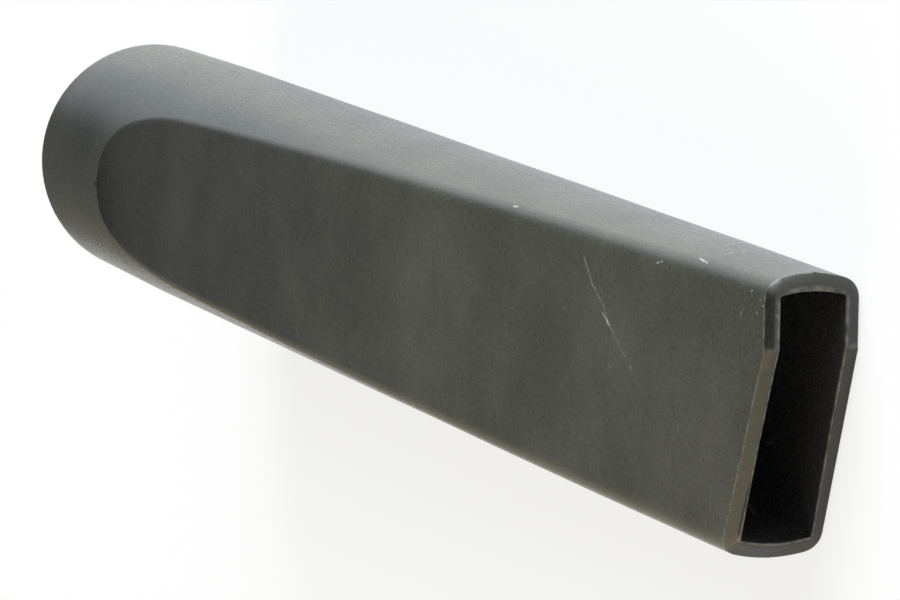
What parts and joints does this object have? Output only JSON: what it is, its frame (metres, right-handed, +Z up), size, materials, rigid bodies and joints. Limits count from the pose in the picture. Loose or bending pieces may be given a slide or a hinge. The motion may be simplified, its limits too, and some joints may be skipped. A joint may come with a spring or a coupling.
{
  "type": "vacuum crevice nozzle",
  "caption": "Long flat vacuum nozzle, moulded in one piece: a round socket for the tube, flat tapering sides and a narrow slot mouth with a partly slanted end.",
  "frame": {"origin": "centre of the round socket's open end", "axes": "+X from the socket towards the mouth, +Z up, the nozzle lying on one flat side; its own axis dips 2.9 degrees towards the mouth because it rests on the end of the round socket and on the lip of the mouth; +Y towards the edge of the mouth that reaches furthest"},
  "size_m": [0.3107, 0.039, 0.041],
  "materials": {
    "nozzle": "matt moulded plastic, scuffed"
  },
  "bodies": {
    "root": {"nozzle": "nozzle"}
  },
  "joints": []
}
